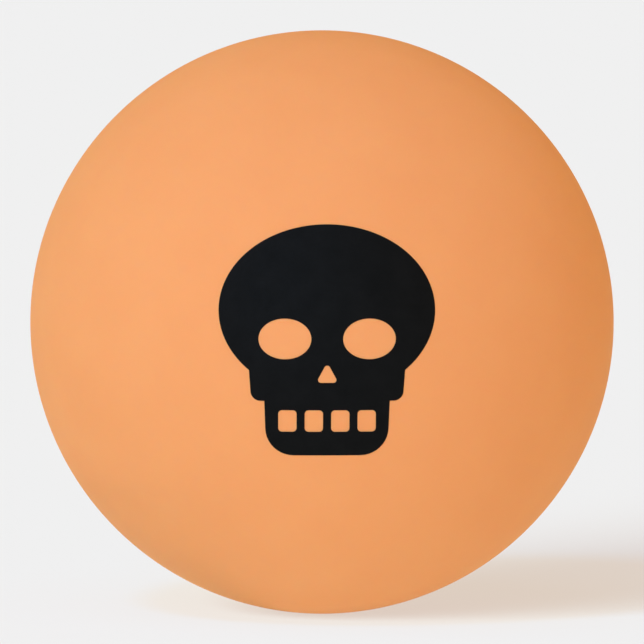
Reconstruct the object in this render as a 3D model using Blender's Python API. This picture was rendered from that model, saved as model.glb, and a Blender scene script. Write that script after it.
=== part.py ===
"""Table tennis ball: two hollow half shells, the cement that joins them, and an emblem printed on one.

Frame: metres, +Z up, origin at the centre of the ball. The halves meet in the XZ plane, so the ball's seam
axis is Y. The front half is the one on the -Y side, and the emblem is printed round its pole.

The halves meet in a lap joint. The front half carries a thin outer leaf, and the rear half a tongue that
slides in under it. Cement fills the hairline between the two rims, the film round the tongue and the gap
past its tip, where it swells into a small bead on the inside of the ball.
"""

import math

import bmesh
import bpy
from mathutils import Matrix, Vector

MM = 0.001

# Driving sizes
BALL_RADIUS = 20.0 * MM
WALL = 0.48 * MM

# The joint, measured across the seam plane and out from the seam axis
BAND_RADIUS = 19.2 * MM  # inside of the thicker band that backs the joint
BAND_HALF_WIDTH = 2.4 * MM
TAPER_END = 3.8 * MM
LAP_DEPTH = 1.4 * MM
LEAF_INNER_RADIUS = 19.62 * MM
TONGUE_RADIUS = 19.54 * MM
TONGUE_CHAMFER = 0.1 * MM
RIM_GAP = 0.08 * MM
TIP_GAP = 0.14 * MM
CLEARANCE = 0.01 * MM  # between the cement and each wall it wets
BEAD_REACH = 0.18 * MM
BEAD_SHOULDER = 0.7  # how far the bead's two edges reach, as a share of the whole

# The emblem: width and height of its outline, and the film of ink that it is printed in
EMBLEM_WIDTH = 14.4 * MM
EMBLEM_HEIGHT = 15.4 * MM
INK_THICKNESS = 0.04 * MM
INK_PATCH_ANGLE = math.radians(25)

# Shares of the emblem's height, measured down from its top
CRANIUM_MIDDLE = 0.37
CHEEK_TOP = 0.50
CHEEK_BOTTOM = 0.76
EYE_LEVEL = 0.49
NOSE_TOP = 0.59
NOSE_BOTTOM = 0.68
GAP_TOP = 0.80
GAP_BOTTOM = 0.895

# Shares of the emblem's width
CHEEK_HALF_WIDTH = 0.37  # at its top
CHEEK_HALF_WIDTH_BELOW = 0.35
CHEEK_ROUNDING = 0.045
JAW_HALF_WIDTH = 0.30
JAW_HALF_WIDTH_BELOW = 0.28
JAW_ROUNDING = 0.13
BURIED_ROUNDING = 0.02  # of corners inside the shape above
EYE_OFFSET = 0.195
EYE_HALF_WIDTH = 0.122
EYE_HALF_HEIGHT = 0.094
NOSE_HALF_WIDTH = 0.052
NOSE_ROUNDING = 0.014
GAP_WIDTH = 0.085
GAP_PITCH = 0.122
GAP_ROUNDING = 0.018
GAP_COUNT = 4

# Cutters for the emblem: each is deeper than the last, so that no two end faces meet
CUTTER_DEPTH = 8.0 * MM
CUTTER_STEP = 1.0 * MM

# How finely round things are divided
SEGMENTS = 64
OUTSIDE_STEPS = 16
INSIDE_STEPS = 15
BAND_STEPS = 2
PATCH_RINGS = 8
PATCH_SEGMENTS = 48
CRANIUM_POINTS = 56
EYE_POINTS = 28
OUTLINE_CORNER_STEPS = 5
OPENING_CORNER_STEPS = 3
MERGE_DISTANCE = 0.001 * MM
SHARP_ANGLE = math.radians(35)


def clear_scene():
    for item in list(bpy.data.objects):
        bpy.data.objects.remove(item, do_unlink=True)


def principled(name, color, roughness, metallic=0.0):
    material = bpy.data.materials.new(name)
    material.use_nodes = True
    shader = material.node_tree.nodes["Principled BSDF"]
    shader.inputs["Base Color"].default_value = (*color, 1.0)
    shader.inputs["Roughness"].default_value = roughness
    shader.inputs["Metallic"].default_value = metallic
    material.diffuse_color = (*color, 1.0)
    return material


def orange_plastic():
    return principled("orange_plastic", (0.915, 0.352, 0.12), roughness=0.7)


def clear_cement():
    return principled("clear_cement", (0.82, 0.305, 0.105), roughness=0.4)


def black_ink():
    return principled("black_ink", (0.005, 0.005, 0.005), roughness=0.65)


def new_object(name, mesh_data, material=None):
    mesh = bpy.data.meshes.new(name)
    mesh_data.to_mesh(mesh)
    mesh_data.free()
    made = bpy.data.objects.new(name, mesh)
    bpy.context.scene.collection.objects.link(made)
    if material is not None:
        mesh.materials.append(material)
    return made


def shade_round(target):
    target.data.shade_smooth()
    target.data.set_sharp_from_angle(angle=SHARP_ANGLE)


def radius_at(sphere_radius, height):
    """How far a sphere's surface is from the seam axis, at a height above the seam plane."""
    return math.sqrt(sphere_radius**2 - height**2)


def meridian(sphere_radius, height_from, height_to, steps):
    """Points (radius, height) along a sphere's meridian, spaced evenly by angle."""
    start = math.asin(height_from / sphere_radius)
    end = math.asin(height_to / sphere_radius)
    points = []
    for step in range(steps + 1):
        angle = start + (end - start) * step / steps
        points.append((sphere_radius * math.cos(angle), sphere_radius * math.sin(angle)))
    return points


def spun(name, profile, material, axial_sign, closed):
    """A solid made by turning a profile of (radius, height) points about the seam axis.

    A height of +1 points towards axial_sign on Y. The profile is a closed loop or runs from pole to pole.
    """
    work = bmesh.new()
    verts = [work.verts.new((radius, axial_sign * height, 0.0)) for radius, height in profile]
    pairs = list(zip(verts, verts[1:]))
    if closed:
        pairs.append((verts[-1], verts[0]))
    edges = [work.edges.new(pair) for pair in pairs]
    bmesh.ops.spin(
        work,
        geom=verts + edges,
        cent=(0.0, 0.0, 0.0),
        axis=(0.0, 1.0, 0.0),
        angle=2 * math.pi,
        steps=SEGMENTS,
        use_merge=True,
    )
    bmesh.ops.remove_doubles(work, verts=work.verts, dist=MERGE_DISTANCE)
    bmesh.ops.recalc_face_normals(work, faces=work.faces)
    made = new_object(name, work, material)
    shade_round(made)
    return made


def shell_inside(first_height):
    """The inner wall from the joint to the pole: the thicker band, its taper and the even wall beyond."""
    inner_radius = BALL_RADIUS - WALL
    band = meridian(BAND_RADIUS, first_height, BAND_HALF_WIDTH, BAND_STEPS)
    wall = meridian(inner_radius, TAPER_END, inner_radius, INSIDE_STEPS)
    return band + wall


def front_half_shell():
    """The half with the outer leaf. Its pole is at -Y."""
    rim = RIM_GAP / 2
    outside = meridian(BALL_RADIUS, BALL_RADIUS, rim, OUTSIDE_STEPS)
    socket = [(LEAF_INNER_RADIUS, rim), (LEAF_INNER_RADIUS, LAP_DEPTH)]
    profile = outside + socket + shell_inside(LAP_DEPTH)
    return spun("front_half_shell", profile, orange_plastic(), axial_sign=-1, closed=False)


def rear_half_shell():
    """The half with the tongue. Its pole is at +Y, and its tongue reaches past the seam plane."""
    rim = RIM_GAP / 2
    tip = TIP_GAP - LAP_DEPTH
    outside = meridian(BALL_RADIUS, BALL_RADIUS, rim, OUTSIDE_STEPS)
    tongue = [
        (TONGUE_RADIUS, rim),
        (TONGUE_RADIUS, tip + TONGUE_CHAMFER),
        (TONGUE_RADIUS - TONGUE_CHAMFER, tip),
    ]
    profile = outside + tongue + shell_inside(tip)
    return spun("rear_half_shell", profile, orange_plastic(), axial_sign=1, closed=False)


def seam_cement():
    """The cement: hairline at the surface, film round the tongue, and a bead past the tongue's tip."""
    hairline = RIM_GAP / 2 - CLEARANCE
    film_outside = LEAF_INNER_RADIUS - CLEARANCE
    film_inside = TONGUE_RADIUS + CLEARANCE
    tip_side = -(LAP_DEPTH - TIP_GAP + CLEARANCE)
    shoulder_side = -(LAP_DEPTH - CLEARANCE)
    mouth_radius = radius_at(BAND_RADIUS, LAP_DEPTH)
    bead_middle = (tip_side + shoulder_side) / 2
    bead_edge = mouth_radius - BEAD_REACH * BEAD_SHOULDER
    profile = [
        (BALL_RADIUS - CLEARANCE, hairline),
        (BALL_RADIUS - CLEARANCE, -hairline),
        (film_outside, -hairline),
        (film_outside, shoulder_side),
        (mouth_radius, shoulder_side),
        (bead_edge, shoulder_side),
        (mouth_radius - BEAD_REACH, bead_middle),
        (bead_edge, tip_side),
        (mouth_radius, tip_side),
        (film_inside - TONGUE_CHAMFER, tip_side),
        (film_inside, tip_side + TONGUE_CHAMFER),
        (film_inside, hairline),
    ]
    return spun("seam_cement", profile, clear_cement(), axial_sign=1, closed=True)


def ellipse_outline(center, half_width, half_height, count):
    """Points (x, z) round an ellipse."""
    points = []
    for step in range(count):
        angle = 2 * math.pi * step / count
        across = half_width * math.cos(angle)
        up = half_height * math.sin(angle)
        points.append((center[0] + across, center[1] + up))
    return points


def rounded_outline(corners, radii, corner_steps):
    """Points (x, z) round a convex polygon given anticlockwise, each corner rounded to its own radius."""
    points = []
    count = len(corners)
    for index, corner in enumerate(corners):
        here = Vector(corner)
        to_last = (Vector(corners[index - 1]) - here).normalized()
        to_next = (Vector(corners[(index + 1) % count]) - here).normalized()
        half_angle = to_last.angle(to_next) / 2
        center = here + (to_last + to_next).normalized() * (radii[index] / math.sin(half_angle))
        turn = math.pi - 2 * half_angle
        start = here + to_last * (radii[index] / math.tan(half_angle)) - center
        for step in range(corner_steps + 1):
            arm = Matrix.Rotation(turn * step / corner_steps, 2) @ start
            points.append(tuple(center + arm))
    return points


def trapezoid(middle, half_width_above, half_width_below, top, bottom):
    """Corners (x, z) of an upright trapezoid, anticlockwise from its lower left."""
    return [
        (middle - half_width_below, bottom),
        (middle + half_width_below, bottom),
        (middle + half_width_above, top),
        (middle - half_width_above, top),
    ]


def prism_into(work, outline, depth):
    """Adds a closed prism to a mesh: the (x, z) outline, from inside the ball to past the front pole."""
    near = [work.verts.new((x, -BALL_RADIUS - depth / 2, z)) for x, z in outline]
    far = [work.verts.new((x, -BALL_RADIUS + depth / 2, z)) for x, z in outline]
    work.faces.new(near)
    work.faces.new(list(reversed(far)))
    count = len(outline)
    for index in range(count):
        after = (index + 1) % count
        work.faces.new((near[after], near[index], far[index], far[after]))


def cutter(name, outlines, depth):
    """A guide object made of one closed prism for each outline."""
    work = bmesh.new()
    for outline in outlines:
        prism_into(work, outline, depth)
    bmesh.ops.recalc_face_normals(work, faces=work.faces)
    made = new_object(name, work)
    made.hide_render = True
    made.display_type = "WIRE"
    return made


def boolean(target, operation, other):
    step = target.modifiers.new(other.name, "BOOLEAN")
    step.operation = operation
    step.solver = "EXACT"
    step.object = other


def level(share):
    """The height (z) at a share of the emblem's height, down from its top."""
    return EMBLEM_HEIGHT * (0.5 - share)


def emblem_block(half_width_above, half_width_below, rounding, bottom_share):
    """A trapezoid that runs down from the cheeks' top, with its lower corners rounded."""
    corners = trapezoid(
        0.0,
        half_width_above * EMBLEM_WIDTH,
        half_width_below * EMBLEM_WIDTH,
        level(CHEEK_TOP),
        level(bottom_share),
    )
    radii = [share * EMBLEM_WIDTH for share in (rounding, rounding, BURIED_ROUNDING, BURIED_ROUNDING)]
    return rounded_outline(corners, radii, OUTLINE_CORNER_STEPS)


def emblem_outline():
    """The outside of the emblem: a broad cranium, a cheek block under it and a narrower jaw."""
    half_height = CRANIUM_MIDDLE * EMBLEM_HEIGHT
    cranium = ellipse_outline((0.0, level(CRANIUM_MIDDLE)), EMBLEM_WIDTH / 2, half_height, CRANIUM_POINTS)
    cheeks = emblem_block(CHEEK_HALF_WIDTH, CHEEK_HALF_WIDTH_BELOW, CHEEK_ROUNDING, CHEEK_BOTTOM)
    jaw = emblem_block(JAW_HALF_WIDTH, JAW_HALF_WIDTH_BELOW, JAW_ROUNDING, 1.0)
    outline = cutter("emblem_outline", [cranium], CUTTER_DEPTH)
    boolean(outline, "UNION", cutter("emblem_cheeks", [cheeks], CUTTER_DEPTH + CUTTER_STEP))
    boolean(outline, "UNION", cutter("emblem_jaw", [jaw], CUTTER_DEPTH + 2 * CUTTER_STEP))
    return outline


def emblem_openings():
    """What is left unprinted: two eyes, a nose and the gaps between upright teeth."""
    width = EMBLEM_WIDTH
    openings = []
    for side in (-1, 1):
        center = (side * EYE_OFFSET * width, level(EYE_LEVEL))
        openings.append(
            ellipse_outline(center, EYE_HALF_WIDTH * width, EYE_HALF_HEIGHT * width, EYE_POINTS)
        )
    nose_corners = [
        (-NOSE_HALF_WIDTH * width, level(NOSE_BOTTOM)),
        (NOSE_HALF_WIDTH * width, level(NOSE_BOTTOM)),
        (0.0, level(NOSE_TOP)),
    ]
    openings.append(rounded_outline(nose_corners, [NOSE_ROUNDING * width] * 3, OPENING_CORNER_STEPS))
    half_gap = GAP_WIDTH * width / 2
    for place in range(GAP_COUNT):
        middle = (place - (GAP_COUNT - 1) / 2) * GAP_PITCH * width
        corners = trapezoid(middle, half_gap, half_gap, level(GAP_TOP), level(GAP_BOTTOM))
        openings.append(rounded_outline(corners, [GAP_ROUNDING * width] * 4, OPENING_CORNER_STEPS))
    return cutter("emblem_openings", openings, CUTTER_DEPTH + 3 * CUTTER_STEP)


def ink_patch():
    """A round patch of ink film that lies over the front pole, before it is cut to the emblem."""
    inner = BALL_RADIUS + CLEARANCE
    outer = inner + INK_THICKNESS
    work = bmesh.new()
    rings = []
    for radius in (outer, inner):
        pole = work.verts.new((0.0, -radius, 0.0))
        layer = [[pole]]
        for ring in range(1, PATCH_RINGS + 1):
            lean = INK_PATCH_ANGLE * ring / PATCH_RINGS
            across = radius * math.sin(lean)
            circle = []
            for step in range(PATCH_SEGMENTS):
                turn = 2 * math.pi * step / PATCH_SEGMENTS
                place = (across * math.cos(turn), -radius * math.cos(lean), across * math.sin(turn))
                circle.append(work.verts.new(place))
            layer.append(circle)
        for step in range(PATCH_SEGMENTS):
            after = (step + 1) % PATCH_SEGMENTS
            work.faces.new((pole, layer[1][step], layer[1][after]))
            for ring in range(1, PATCH_RINGS):
                work.faces.new(
                    (layer[ring][step], layer[ring + 1][step], layer[ring + 1][after], layer[ring][after])
                )
        rings.append(layer[-1])
    for step in range(PATCH_SEGMENTS):
        after = (step + 1) % PATCH_SEGMENTS
        work.faces.new((rings[0][step], rings[1][step], rings[1][after], rings[0][after]))
    bmesh.ops.recalc_face_normals(work, faces=work.faces)
    return work


def printed_emblem():
    """The print: a film of ink on the front half, cut to the emblem's outline and openings."""
    made = new_object("printed_emblem", ink_patch(), black_ink())
    boolean(made, "INTERSECT", emblem_outline())
    boolean(made, "DIFFERENCE", emblem_openings())
    shade_round(made)
    return made


def main():
    clear_scene()
    front_half_shell()
    rear_half_shell()
    seam_cement()
    printed_emblem()


main()
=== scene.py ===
import math

import bmesh
import bpy
from mathutils import Matrix, Vector


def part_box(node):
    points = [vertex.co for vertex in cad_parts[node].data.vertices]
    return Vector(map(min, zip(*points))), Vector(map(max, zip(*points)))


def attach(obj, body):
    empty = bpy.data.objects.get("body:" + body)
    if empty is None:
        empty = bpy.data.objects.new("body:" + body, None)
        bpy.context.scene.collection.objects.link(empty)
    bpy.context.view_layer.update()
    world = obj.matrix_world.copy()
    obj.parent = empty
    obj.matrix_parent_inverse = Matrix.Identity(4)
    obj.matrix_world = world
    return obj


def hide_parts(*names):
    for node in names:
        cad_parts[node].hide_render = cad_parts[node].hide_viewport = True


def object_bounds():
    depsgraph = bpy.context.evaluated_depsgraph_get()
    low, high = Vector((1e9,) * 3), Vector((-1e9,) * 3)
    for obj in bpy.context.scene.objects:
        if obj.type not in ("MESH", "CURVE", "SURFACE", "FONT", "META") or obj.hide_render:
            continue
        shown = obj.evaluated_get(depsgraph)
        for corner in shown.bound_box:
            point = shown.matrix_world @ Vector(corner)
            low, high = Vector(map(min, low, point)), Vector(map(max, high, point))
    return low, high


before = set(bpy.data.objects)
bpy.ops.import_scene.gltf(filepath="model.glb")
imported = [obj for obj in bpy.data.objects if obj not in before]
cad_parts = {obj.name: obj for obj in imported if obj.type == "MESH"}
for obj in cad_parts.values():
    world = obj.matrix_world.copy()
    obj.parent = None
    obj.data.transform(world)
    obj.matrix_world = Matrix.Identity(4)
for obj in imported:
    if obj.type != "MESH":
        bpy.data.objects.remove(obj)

# Looks of a table tennis ball. The ball's centre is the origin, its seam lies in the XZ plane, and its
# emblem is printed round the pole at -Y. Each piece is made again here from the frame's own sizes, finer
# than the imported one.

CAD_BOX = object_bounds()
FRONT_LOW, FRONT_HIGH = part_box("front_half_shell")
REAR_LOW, REAR_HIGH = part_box("rear_half_shell")
EMBLEM_LOW, EMBLEM_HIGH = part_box("printed_emblem")

MM = 0.001

# The shells: sizes read from the frame, then the wall and the joint. Heights are from the seam plane, and
# radii of the joint are from the seam axis
RADIUS = REAR_HIGH.y
RIM_HEIGHT = -FRONT_HIGH.y
TONGUE_TIP = REAR_LOW.y
WALL = 0.48 * MM
BAND_RADIUS = 19.2 * MM  # inside of the thicker band that backs the joint
BAND_HALF_WIDTH = 2.4 * MM
TAPER_END = 3.8 * MM
LAP_DEPTH = 1.4 * MM
LEAF_INNER_RADIUS = 19.62 * MM
TONGUE_RADIUS = 19.54 * MM
TONGUE_CHAMFER = 0.1 * MM
RIM_ROUNDING = 0.035 * MM  # of each shell's outer edge at the seam

# The cement
CEMENT_CLEARANCE = 0.01 * MM  # to each wall it wets
CEMENT_SINK = 0.02 * MM  # below the ball's surface, at the hairline
BEAD_REACH = 0.18 * MM
BEAD_SHOULDER = 0.7  # how far the bead's two edges reach, as a share of the whole

# The emblem: width and height of its outline, and the film of ink that it is printed in
EMBLEM_WIDTH = EMBLEM_HIGH.x - EMBLEM_LOW.x
EMBLEM_HEIGHT = EMBLEM_HIGH.z - EMBLEM_LOW.z
EMBLEM_TOP = EMBLEM_HIGH.z
INK_LIFT = 0.002 * MM
INK_THICKNESS = 0.02 * MM
PATCH_ANGLE = math.radians(25)

# Shares of the emblem's height, measured down from its top
CRANIUM_MIDDLE = 0.37
CHEEK_TOP = 0.50
CHEEK_BOTTOM = 0.76
EYE_LEVEL = 0.49
NOSE_TOP = 0.59
NOSE_BOTTOM = 0.68
GAP_TOP = 0.80
GAP_BOTTOM = 0.895

# Shares of the emblem's width
CHEEK_HALF_WIDTH = 0.37  # at its top
CHEEK_HALF_WIDTH_BELOW = 0.35
CHEEK_ROUNDING = 0.045
JAW_HALF_WIDTH = 0.30
JAW_HALF_WIDTH_BELOW = 0.28
JAW_ROUNDING = 0.13
BURIED_ROUNDING = 0.02  # of corners inside the shape above
EYE_OFFSET = 0.195
EYE_HALF_WIDTH = 0.122
EYE_HALF_HEIGHT = 0.094
NOSE_HALF_WIDTH = 0.052
NOSE_ROUNDING = 0.014
GAP_WIDTH = 0.085
GAP_PITCH = 0.122
GAP_ROUNDING = 0.018
GAP_COUNT = 4

# Cutters for the emblem: each is deeper than the last, so that no two end faces meet
CUTTER_DEPTH = 8.0 * MM
CUTTER_STEP = 1.0 * MM

# How finely round things are divided
SEGMENTS = 256
MERIDIAN_STEPS = 64
BAND_STEPS = 6
RIM_STEPS = 4
PATCH_RINGS = 36
PATCH_SEGMENTS = 160
CRANIUM_POINTS = 180
EYE_POINTS = 96
CORNER_STEPS = 10
MERGE_DISTANCE = 0.0001 * MM
SHARP_ANGLE = math.radians(35)

# Materials. A scale is in features for each metre, and a pair is the range that a noise runs through
NOISE_RANGE = (0.3, 0.7)  # where most of a noise's factor lies

PLASTIC_COLORS = (0.910, 0.345, 0.117), (0.924, 0.359, 0.123)
PLASTIC_BUFFED_COLOR = (0.83, 0.288, 0.084)
PLASTIC_ROUGHNESS = (0.66, 0.76)
PLASTIC_SPECULAR = 0.06
PLASTIC_SCATTER_COLOR = (1.0, 0.5, 0.25)
PLASTIC_SCATTER_DEPTH = 0.2 * MM
CLOUD_SCALE = 210
GRAIN_SCALE = 5200
GRAIN_DEPTH = 0.006 * MM
GRAIN_STRENGTH = 0.35
WAVE_SCALE = 620
WAVE_DEPTH = 0.01 * MM
WAVE_STRENGTH = 0.25
BUFFED_FULL = 0.10 * MM  # from the seam plane
BUFFED_END = 0.32 * MM
BUFFED_TINT = 0.35
BUFFED_SMOOTHING = 0.16

CEMENT_COLORS = (0.78, 0.27, 0.09), (0.86, 0.34, 0.12)
CEMENT_ROUGHNESS = (0.32, 0.48)
CEMENT_SCATTER_COLOR = (1.0, 0.45, 0.22)
CEMENT_SCATTER_DEPTH = 0.3 * MM
CEMENT_CLOUD_SCALE = 900
CEMENT_GLOSS_SCALE = 2600
RIPPLE_SCALE = 1800
RIPPLE_DEPTH = 0.01 * MM
RIPPLE_STRENGTH = 0.3
SCATTER_SHARE = 0.5  # of the light, in the plastic and in the cement

INK_COLORS = (0.0042, 0.0040, 0.0036), (0.0060, 0.0056, 0.0051)
INK_ROUGHNESS = (0.58, 0.72)
INK_SPECULAR = 0.05
COVER_SCALE = 700
SKIN_SCALE = 6800
SKIN_DEPTH = 0.004 * MM
SKIN_STRENGTH = 0.3

# The camera and the studio
CAMERA_AZIMUTH = math.radians(-1.0)
CAMERA_ELEVATION = math.radians(3.7)
CAMERA_DISTANCE = 30 * RADIUS
CLIP_START = 0.01
BALL_SHARE = 0.906  # of the frame's width
BACKGROUND = 0.871
FLOOR_ALBEDO = 0.1  # the share of the light on it that the floor sends back; the rest of its tone is a glow
AMBIENT = (0.67, 0.435, 0.14)  # light from all round, in three colours
# Lamps: name, azimuth, elevation and how wide it looks in degrees, and irradiance in three colours
LIGHTS = (
    ("front", -20, 16, 30, (0.40, 1.07, 1.74)),
    ("side", -32, 22, 30, (0.41, 0.38, 0.60)),
    ("top", -30, 60, 50, (0.24, 0.63, 1.32)),
)
FLOOR_LIGHTS = (  # these fall on the floor alone, and draw the ball's shadow
    ("floor_low", -40, 16, 30, (14.3, 20.1, 22.0)),
    ("floor_key", -30, 46, 10, (0.05, 1.65, 3.8)),
)
FLOOR_HALF_SIZE = 40.0


# ---- small helpers -----------------------------------------------------------


def direction(azimuth, elevation):
    """Unit vector from the ball towards a place; azimuth 0 is -Y and 90 degrees is +X."""
    flat = math.cos(elevation)
    return Vector((math.sin(azimuth) * flat, -math.cos(azimuth) * flat, math.sin(elevation)))


def link(name, data):
    made = bpy.data.objects.new(name, data)
    bpy.context.scene.collection.objects.link(made)
    return made


def mesh_object(name, work, material=None):
    mesh = bpy.data.meshes.new(name)
    work.to_mesh(mesh)
    work.free()
    if material is not None:
        mesh.materials.append(material)
    return link(name, mesh)


def shade_round(target):
    target.data.shade_smooth()
    target.data.set_sharp_from_angle(angle=SHARP_ANGLE)


# ---- shells and cement -------------------------------------------------------


def meridian(sphere_radius, height_from, height_to, steps):
    """Points (radius, height) along a sphere's meridian, spaced evenly by angle."""
    start = math.asin(height_from / sphere_radius)
    end = math.asin(height_to / sphere_radius)
    points = []
    for step in range(steps + 1):
        angle = start + (end - start) * step / steps
        points.append((sphere_radius * math.cos(angle), sphere_radius * math.sin(angle)))
    return points


def rounded_rim(outer_radius, height, rounding):
    """Points (radius, height) of a quarter round, from the outside into the flat rim at the seam."""
    points = []
    for step in range(RIM_STEPS + 1):
        angle = math.pi / 2 * step / RIM_STEPS
        radius = outer_radius - rounding + rounding * math.cos(angle)
        points.append((radius, height + rounding - rounding * math.sin(angle)))
    return points


def spun(name, profile, material, axial_sign, closed):
    """A solid made by turning a profile of (radius, height) points about the seam axis.

    A height of +1 points towards axial_sign on Y. The profile is a closed loop or runs from pole to pole.
    """
    work = bmesh.new()
    verts = [work.verts.new((radius, axial_sign * height, 0.0)) for radius, height in profile]
    pairs = list(zip(verts, verts[1:]))
    if closed:
        pairs.append((verts[-1], verts[0]))
    edges = [work.edges.new(pair) for pair in pairs]
    bmesh.ops.spin(
        work,
        geom=verts + edges,
        cent=(0.0, 0.0, 0.0),
        axis=(0.0, 1.0, 0.0),
        angle=2 * math.pi,
        steps=SEGMENTS,
        use_merge=True,
    )
    bmesh.ops.remove_doubles(work, verts=work.verts, dist=MERGE_DISTANCE)
    bmesh.ops.recalc_face_normals(work, faces=work.faces)
    made = mesh_object(name, work, material)
    shade_round(made)
    return made


def shell_outside():
    """The outside from the pole down to the rounded edge of the rim."""
    sphere = meridian(RADIUS, RADIUS, RIM_HEIGHT + RIM_ROUNDING, MERIDIAN_STEPS)
    return sphere[:-1] + rounded_rim(RADIUS, RIM_HEIGHT, RIM_ROUNDING)


def shell_inside(first_height):
    """The inner wall from the joint to the pole: the thicker band, its taper and the even wall beyond."""
    inner_radius = RADIUS - WALL
    band = meridian(BAND_RADIUS, first_height, BAND_HALF_WIDTH, BAND_STEPS)
    wall = meridian(inner_radius, TAPER_END, inner_radius, MERIDIAN_STEPS)
    return band + wall


def front_shell(material):
    """The half with the outer leaf. Its pole is at -Y."""
    socket = [(LEAF_INNER_RADIUS, RIM_HEIGHT), (LEAF_INNER_RADIUS, LAP_DEPTH)]
    profile = shell_outside() + socket + shell_inside(LAP_DEPTH)
    made = spun("front_shell", profile, material, axial_sign=-1, closed=False)
    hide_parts("front_half_shell")
    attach(made, "root")


def rear_shell(material):
    """The half with the tongue. Its pole is at +Y, and its tongue reaches past the seam plane."""
    tongue = [
        (TONGUE_RADIUS, RIM_HEIGHT),
        (TONGUE_RADIUS, TONGUE_TIP + TONGUE_CHAMFER),
        (TONGUE_RADIUS - TONGUE_CHAMFER, TONGUE_TIP),
    ]
    profile = shell_outside() + tongue + shell_inside(TONGUE_TIP)
    made = spun("rear_shell", profile, material, axial_sign=1, closed=False)
    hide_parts("rear_half_shell")
    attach(made, "root")


def seam_ring(material):
    """The cement: hairline at the surface, film round the tongue, and a bead past the tongue's tip."""
    hairline = RIM_HEIGHT - CEMENT_CLEARANCE
    surface = RADIUS - CEMENT_SINK
    film_outside = LEAF_INNER_RADIUS - CEMENT_CLEARANCE
    film_inside = TONGUE_RADIUS + CEMENT_CLEARANCE
    tip_side = TONGUE_TIP - CEMENT_CLEARANCE
    shoulder_side = -(LAP_DEPTH - CEMENT_CLEARANCE)
    mouth_radius = math.sqrt(BAND_RADIUS**2 - LAP_DEPTH**2)
    bead_middle = (tip_side + shoulder_side) / 2
    bead_edge = mouth_radius - BEAD_REACH * BEAD_SHOULDER
    profile = [
        (surface, hairline),
        (surface - CEMENT_SINK / 2, 0.0),
        (surface, -hairline),
        (film_outside, -hairline),
        (film_outside, shoulder_side),
        (mouth_radius, shoulder_side),
        (bead_edge, shoulder_side),
        (mouth_radius - BEAD_REACH, bead_middle),
        (bead_edge, tip_side),
        (mouth_radius, tip_side),
        (film_inside - TONGUE_CHAMFER, tip_side),
        (film_inside, tip_side + TONGUE_CHAMFER),
        (film_inside, hairline),
    ]
    made = spun("seam_ring", profile, material, axial_sign=1, closed=True)
    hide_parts("seam_cement")
    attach(made, "root")


# ---- printed emblem ----------------------------------------------------------


def ellipse_outline(center, half_width, half_height, count):
    """Points (x, z) round an ellipse."""
    points = []
    for step in range(count):
        angle = 2 * math.pi * step / count
        points.append((center[0] + half_width * math.cos(angle), center[1] + half_height * math.sin(angle)))
    return points


def rounded_outline(corners, radii):
    """Points (x, z) round a convex polygon given anticlockwise, each corner rounded to its own radius."""
    points = []
    count = len(corners)
    for index, corner in enumerate(corners):
        here = Vector(corner)
        to_last = (Vector(corners[index - 1]) - here).normalized()
        to_next = (Vector(corners[(index + 1) % count]) - here).normalized()
        half_angle = to_last.angle(to_next) / 2
        center = here + (to_last + to_next).normalized() * (radii[index] / math.sin(half_angle))
        turn = math.pi - 2 * half_angle
        start = here + to_last * (radii[index] / math.tan(half_angle)) - center
        for step in range(CORNER_STEPS + 1):
            arm = Matrix.Rotation(turn * step / CORNER_STEPS, 2) @ start
            points.append(tuple(center + arm))
    return points


def trapezoid(middle, half_width_above, half_width_below, top, bottom):
    """Corners (x, z) of an upright trapezoid, anticlockwise from its lower left."""
    return [
        (middle - half_width_below, bottom),
        (middle + half_width_below, bottom),
        (middle + half_width_above, top),
        (middle - half_width_above, top),
    ]


def cutter(name, outlines, depth):
    """A guide object made of one closed prism for each outline, across the front pole."""
    work = bmesh.new()
    for outline in outlines:
        near = [work.verts.new((x, -RADIUS - depth / 2, z)) for x, z in outline]
        far = [work.verts.new((x, -RADIUS + depth / 2, z)) for x, z in outline]
        work.faces.new(near)
        work.faces.new(list(reversed(far)))
        for index in range(len(outline)):
            after = (index + 1) % len(outline)
            work.faces.new((near[after], near[index], far[index], far[after]))
    bmesh.ops.recalc_face_normals(work, faces=work.faces)
    return mesh_object(name, work)


def boolean(target, operation, other):
    step = target.modifiers.new(other.name, "BOOLEAN")
    step.operation = operation
    step.solver = "EXACT"
    step.object = other


def level(share):
    """The height (z) at a share of the emblem's height, down from its top."""
    return EMBLEM_TOP - EMBLEM_HEIGHT * share


def emblem_block(half_width_above, half_width_below, rounding, bottom_share):
    """A trapezoid that runs down from the cheeks' top, with its lower corners rounded."""
    corners = trapezoid(
        0.0,
        half_width_above * EMBLEM_WIDTH,
        half_width_below * EMBLEM_WIDTH,
        level(CHEEK_TOP),
        level(bottom_share),
    )
    radii = [share * EMBLEM_WIDTH for share in (rounding, rounding, BURIED_ROUNDING, BURIED_ROUNDING)]
    return rounded_outline(corners, radii)


def emblem_outlines():
    """The broad cranium, the cheek block under it and the narrower jaw."""
    half_height = CRANIUM_MIDDLE * EMBLEM_HEIGHT
    cranium = ellipse_outline((0.0, level(CRANIUM_MIDDLE)), EMBLEM_WIDTH / 2, half_height, CRANIUM_POINTS)
    cheeks = emblem_block(CHEEK_HALF_WIDTH, CHEEK_HALF_WIDTH_BELOW, CHEEK_ROUNDING, CHEEK_BOTTOM)
    jaw = emblem_block(JAW_HALF_WIDTH, JAW_HALF_WIDTH_BELOW, JAW_ROUNDING, 1.0)
    return cranium, cheeks, jaw


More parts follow.
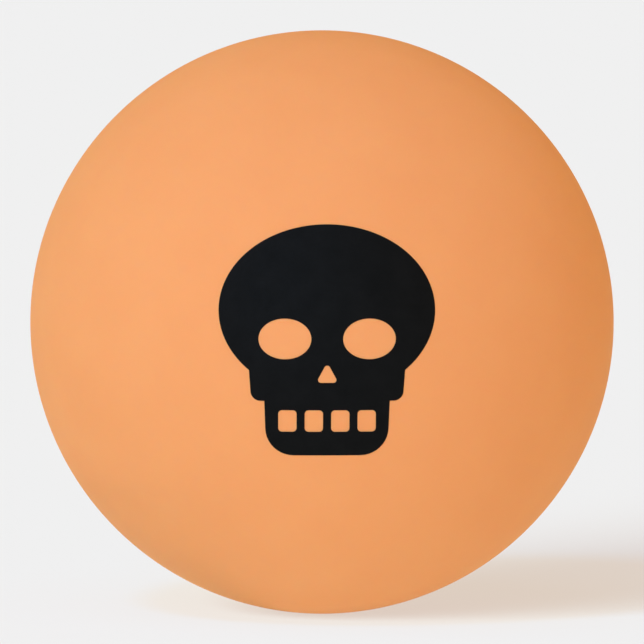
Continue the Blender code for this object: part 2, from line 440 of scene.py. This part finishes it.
def emblem_openings():
    """What is left unprinted: two eyes, a nose and the gaps between upright teeth."""
    width = EMBLEM_WIDTH
    openings = []
    for side in (-1, 1):
        center = (side * EYE_OFFSET * width, level(EYE_LEVEL))
        openings.append(
            ellipse_outline(center, EYE_HALF_WIDTH * width, EYE_HALF_HEIGHT * width, EYE_POINTS)
        )
    nose_corners = [
        (-NOSE_HALF_WIDTH * width, level(NOSE_BOTTOM)),
        (NOSE_HALF_WIDTH * width, level(NOSE_BOTTOM)),
        (0.0, level(NOSE_TOP)),
    ]
    openings.append(rounded_outline(nose_corners, [NOSE_ROUNDING * width] * 3))
    half_gap = GAP_WIDTH * width / 2
    for place in range(GAP_COUNT):
        middle = (place - (GAP_COUNT - 1) / 2) * GAP_PITCH * width
        corners = trapezoid(middle, half_gap, half_gap, level(GAP_TOP), level(GAP_BOTTOM))
        openings.append(rounded_outline(corners, [GAP_ROUNDING * width] * 4))
    return openings


def ink_patch():
    """A round patch of ink film over the front pole, before it is cut to the emblem."""
    inner = RADIUS + INK_LIFT
    work = bmesh.new()
    edge_rings = []
    for radius in (inner + INK_THICKNESS, inner):
        layer = [[work.verts.new((0.0, -radius, 0.0))]]
        for ring in range(1, PATCH_RINGS + 1):
            lean = PATCH_ANGLE * ring / PATCH_RINGS
            across = radius * math.sin(lean)
            circle = []
            for step in range(PATCH_SEGMENTS):
                turn = 2 * math.pi * step / PATCH_SEGMENTS
                place = (across * math.cos(turn), -radius * math.cos(lean), across * math.sin(turn))
                circle.append(work.verts.new(place))
            layer.append(circle)
        for step in range(PATCH_SEGMENTS):
            after = (step + 1) % PATCH_SEGMENTS
            work.faces.new((layer[0][0], layer[1][step], layer[1][after]))
            for ring in range(1, PATCH_RINGS):
                near, far = layer[ring], layer[ring + 1]
                work.faces.new((near[step], far[step], far[after], near[after]))
        edge_rings.append(layer[-1])
    top_edge, under_edge = edge_rings
    for step in range(PATCH_SEGMENTS):
        after = (step + 1) % PATCH_SEGMENTS
        work.faces.new((top_edge[step], under_edge[step], under_edge[after], top_edge[after]))
    bmesh.ops.recalc_face_normals(work, faces=work.faces)
    return work


def skull_print(material):
    """The film of ink, cut to the emblem's outline and openings."""
    made = mesh_object("skull_print", ink_patch(), material)
    cranium, cheeks, jaw = emblem_outlines()
    outline = cutter("outline", [cranium], CUTTER_DEPTH)
    cheek_cutter = cutter("cheeks", [cheeks], CUTTER_DEPTH + CUTTER_STEP)
    jaw_cutter = cutter("jaw", [jaw], CUTTER_DEPTH + 2 * CUTTER_STEP)
    openings = cutter("openings", emblem_openings(), CUTTER_DEPTH + 3 * CUTTER_STEP)
    boolean(outline, "UNION", cheek_cutter)
    boolean(outline, "UNION", jaw_cutter)
    boolean(made, "INTERSECT", outline)
    boolean(made, "DIFFERENCE", openings)
    depsgraph = bpy.context.evaluated_depsgraph_get()
    cut = bpy.data.meshes.new_from_object(made.evaluated_get(depsgraph))
    made.modifiers.clear()
    made.data = cut
    shade_round(made)
    for part in (outline, cheek_cutter, jaw_cutter, openings):
        bpy.data.objects.remove(part, do_unlink=True)
    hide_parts("printed_emblem")
    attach(made, "root")


# ---- materials ---------------------------------------------------------------


def new_material(name):
    material = bpy.data.materials.new(name)
    material.use_nodes = True
    tree = material.node_tree
    return material, tree, tree.nodes["Principled BSDF"]


def noise(tree, scale, detail=2, roughness=0.5):
    """A noise's factor over the object's own coordinates."""
    place = tree.nodes.new("ShaderNodeTexCoord")
    made = tree.nodes.new("ShaderNodeTexNoise")
    made.inputs["Scale"].default_value = scale
    made.inputs["Detail"].default_value = detail
    made.inputs["Roughness"].default_value = roughness
    tree.links.new(place.outputs["Object"], made.inputs["Vector"])
    return made.outputs["Fac"]


def remap(tree, value, from_low, from_high, to_low, to_high):
    """Turns one range of a value into another, and holds it at the ends."""
    made = tree.nodes.new("ShaderNodeMapRange")
    made.inputs["From Min"].default_value = from_low
    made.inputs["From Max"].default_value = from_high
    made.inputs["To Min"].default_value = to_low
    made.inputs["To Max"].default_value = to_high
    tree.links.new(value, made.inputs["Value"])
    return made.outputs["Result"]


def stretch(tree, factor, low=0.0, high=1.0):
    """Widens or narrows a noise's factor so that it runs from low to high."""
    return remap(tree, factor, *NOISE_RANGE, low, high)


def math_node(tree, operation, first, second=None):
    made = tree.nodes.new("ShaderNodeMath")
    made.operation = operation
    for socket, value in zip(made.inputs, (first, second)):
        if isinstance(value, (int, float)):
            socket.default_value = value
        elif value is not None:
            tree.links.new(value, socket)
    return made.outputs["Value"]


def mix_colors(tree, factor, first, second):
    made = tree.nodes.new("ShaderNodeMix")
    made.data_type = "RGBA"
    tree.links.new(factor, made.inputs["Factor"])
    for socket, value in ((made.inputs["A"], first), (made.inputs["B"], second)):
        if isinstance(value, tuple):
            socket.default_value = (*value, 1.0)
        else:
            tree.links.new(value, socket)
    return made.outputs["Result"]


def bump(tree, height, distance, strength, under=None):
    made = tree.nodes.new("ShaderNodeBump")
    made.inputs["Distance"].default_value = distance
    made.inputs["Strength"].default_value = strength
    tree.links.new(height, made.inputs["Height"])
    if under is not None:
        tree.links.new(under, made.inputs["Normal"])
    return made.outputs["Normal"]


def scatter(shader, color, depth):
    """Light that goes a little way into the material before it comes back."""
    shader.inputs["Subsurface Weight"].default_value = SCATTER_SHARE
    shader.inputs["Subsurface Radius"].default_value = color
    shader.inputs["Subsurface Scale"].default_value = depth


def seam_distance(tree):
    """How far a point is from the seam plane, in metres."""
    place = tree.nodes.new("ShaderNodeTexCoord")
    split = tree.nodes.new("ShaderNodeSeparateXYZ")
    tree.links.new(place.outputs["Object"], split.inputs["Vector"])
    return math_node(tree, "ABSOLUTE", split.outputs["Y"])


def orange_plastic():
    """Matt translucent plastic: tumbled micro-grain, faint clouding, and a buffed band along the seam."""
    material, tree, shader = new_material("orange_plastic_look")
    clouds = stretch(tree, noise(tree, CLOUD_SCALE, detail=3))
    color = mix_colors(tree, clouds, *PLASTIC_COLORS)
    buffed = remap(tree, seam_distance(tree), BUFFED_FULL, BUFFED_END, 1.0, 0.0)
    tint = math_node(tree, "MULTIPLY", buffed, BUFFED_TINT)
    color = mix_colors(tree, tint, color, PLASTIC_BUFFED_COLOR)
    tree.links.new(color, shader.inputs["Base Color"])
    grain = noise(tree, GRAIN_SCALE, detail=3, roughness=0.6)
    smoothing = math_node(tree, "MULTIPLY", buffed, BUFFED_SMOOTHING)
    rough = math_node(tree, "SUBTRACT", stretch(tree, grain, *PLASTIC_ROUGHNESS), smoothing)
    tree.links.new(rough, shader.inputs["Roughness"])
    waves = bump(tree, noise(tree, WAVE_SCALE, detail=1), WAVE_DEPTH, WAVE_STRENGTH)
    tree.links.new(bump(tree, grain, GRAIN_DEPTH, GRAIN_STRENGTH, waves), shader.inputs["Normal"])
    scatter(shader, PLASTIC_SCATTER_COLOR, PLASTIC_SCATTER_DEPTH)
    shader.inputs["Specular IOR Level"].default_value = PLASTIC_SPECULAR
    return material


def clear_cement():
    """Cement: a little glossier and darker than the plastic, with small ripples where it dried."""
    material, tree, shader = new_material("clear_cement_look")
    color = mix_colors(tree, noise(tree, CEMENT_CLOUD_SCALE, detail=3), *CEMENT_COLORS)
    tree.links.new(color, shader.inputs["Base Color"])
    rough = stretch(tree, noise(tree, CEMENT_GLOSS_SCALE), *CEMENT_ROUGHNESS)
    tree.links.new(rough, shader.inputs["Roughness"])
    ripples = bump(tree, noise(tree, RIPPLE_SCALE), RIPPLE_DEPTH, RIPPLE_STRENGTH)
    tree.links.new(ripples, shader.inputs["Normal"])
    scatter(shader, CEMENT_SCATTER_COLOR, CEMENT_SCATTER_DEPTH)
    return material


def black_ink():
    """Matt pad-printing ink: near-black, a little uneven where the pad laid it down, with a fine skin."""
    material, tree, shader = new_material("black_ink_look")
    cover = stretch(tree, noise(tree, COVER_SCALE, detail=4, roughness=0.6))
    color = mix_colors(tree, cover, *INK_COLORS)
    tree.links.new(color, shader.inputs["Base Color"])
    skin = noise(tree, SKIN_SCALE)
    tree.links.new(stretch(tree, skin, *INK_ROUGHNESS), shader.inputs["Roughness"])
    tree.links.new(bump(tree, skin, SKIN_DEPTH, SKIN_STRENGTH), shader.inputs["Normal"])
    shader.inputs["Specular IOR Level"].default_value = INK_SPECULAR
    return material


# ---- studio ------------------------------------------------------------------


def sun(name, azimuth, elevation, spread, irradiance):
    """A far lamp. Where it stands and how wide it looks are in degrees."""
    data = bpy.data.lights.new(name, "SUN")
    data.energy = max(irradiance)
    data.color = [part / max(irradiance) for part in irradiance]
    data.angle = math.radians(spread)
    made = link(name, data)
    made.rotation_mode = "QUATERNION"
    toward = direction(math.radians(azimuth), math.radians(elevation))
    made.rotation_quaternion = toward.to_track_quat("Z", "Y")
    return made


def floor(glow):
    """The matt sheet that the ball stands on, lit from within by the glow's three colours.

    It runs so far that its edge is never seen.
    """
    work = bmesh.new()
    bmesh.ops.create_grid(work, x_segments=1, y_segments=1, size=FLOOR_HALF_SIZE)
    bmesh.ops.translate(work, verts=work.verts, vec=(0.0, 0.0, CAD_BOX[0].z))
    material, tree, shader = new_material("floor_sheet")
    tree.nodes.remove(shader)
    diffuse = tree.nodes.new("ShaderNodeBsdfDiffuse")
    diffuse.inputs["Color"].default_value = (FLOOR_ALBEDO, FLOOR_ALBEDO, FLOOR_ALBEDO, 1.0)
    emission = tree.nodes.new("ShaderNodeEmission")
    emission.inputs["Color"].default_value = (*glow, 1.0)
    both = tree.nodes.new("ShaderNodeAddShader")
    tree.links.new(diffuse.outputs["BSDF"], both.inputs[0])
    tree.links.new(emission.outputs["Emission"], both.inputs[1])
    tree.links.new(both.outputs["Shader"], tree.nodes["Material Output"].inputs["Surface"])
    made = mesh_object("floor", work, material)
    return made


def backdrop():
    """World light from all round, and behind the floor's edge the same pale tone as the floor has."""
    world = bpy.data.worlds.new("studio")
    bpy.context.scene.world = world
    world.use_nodes = True
    tree = world.node_tree
    tree.nodes.clear()
    seen = tree.nodes.new("ShaderNodeBackground")
    seen.inputs["Color"].default_value = (BACKGROUND, BACKGROUND, BACKGROUND, 1.0)
    light = tree.nodes.new("ShaderNodeBackground")
    light.inputs["Color"].default_value = (*AMBIENT, 1.0)
    ray = tree.nodes.new("ShaderNodeLightPath")
    mix = tree.nodes.new("ShaderNodeMixShader")
    output = tree.nodes.new("ShaderNodeOutputWorld")
    tree.links.new(ray.outputs["Is Camera Ray"], mix.inputs["Fac"])
    tree.links.new(light.outputs["Background"], mix.inputs[1])
    tree.links.new(seen.outputs["Background"], mix.inputs[2])
    tree.links.new(mix.outputs["Shader"], output.inputs["Surface"])


def light_on_floor():
    """The tone that all the lamps and the world would give an open white floor, in three colours."""
    total = Vector(AMBIENT)
    for _, _, elevation, _, irradiance in LIGHTS + FLOOR_LIGHTS:
        total += Vector(irradiance) * math.sin(math.radians(elevation)) / math.pi
    return total


def studio():
    """Soft cool lamps from the front left and from above, and warm light all round.

    Two more lamps light the floor alone. Its glow brings it to the backdrop's tone, so that the two meet
    with no line between them.
    """
    receivers = bpy.data.collections.new("floor_only")
    receivers.objects.link(floor([BACKGROUND - FLOOR_ALBEDO * part for part in light_on_floor()]))
    for values in LIGHTS:
        sun(*values)
    for values in FLOOR_LIGHTS:
        sun(*values).light_linking.receiver_collection = receivers
    backdrop()
    bpy.context.scene.view_settings.view_transform = "Standard"


def camera():
    """Looks at the ball's centre through a long lens, from a little above the floor."""
    data = bpy.data.cameras.new("camera")
    made = link("camera", data)
    back = direction(CAMERA_AZIMUTH, CAMERA_ELEVATION)
    made.location = back * CAMERA_DISTANCE
    made.rotation_mode = "QUATERNION"
    made.rotation_quaternion = back.to_track_quat("Z", "Y")
    ball_edge = math.asin(RADIUS / CAMERA_DISTANCE)
    data.lens = data.sensor_width / 2 * BALL_SHARE / math.tan(ball_edge)
    data.clip_start = CLIP_START
    data.clip_end = 2 * FLOOR_HALF_SIZE
    bpy.context.scene.camera = made


def main():
    camera()
    plastic = orange_plastic()
    front_shell(plastic)
    rear_shell(plastic)
    seam_ring(clear_cement())
    skull_print(black_ink())
    studio()


main()
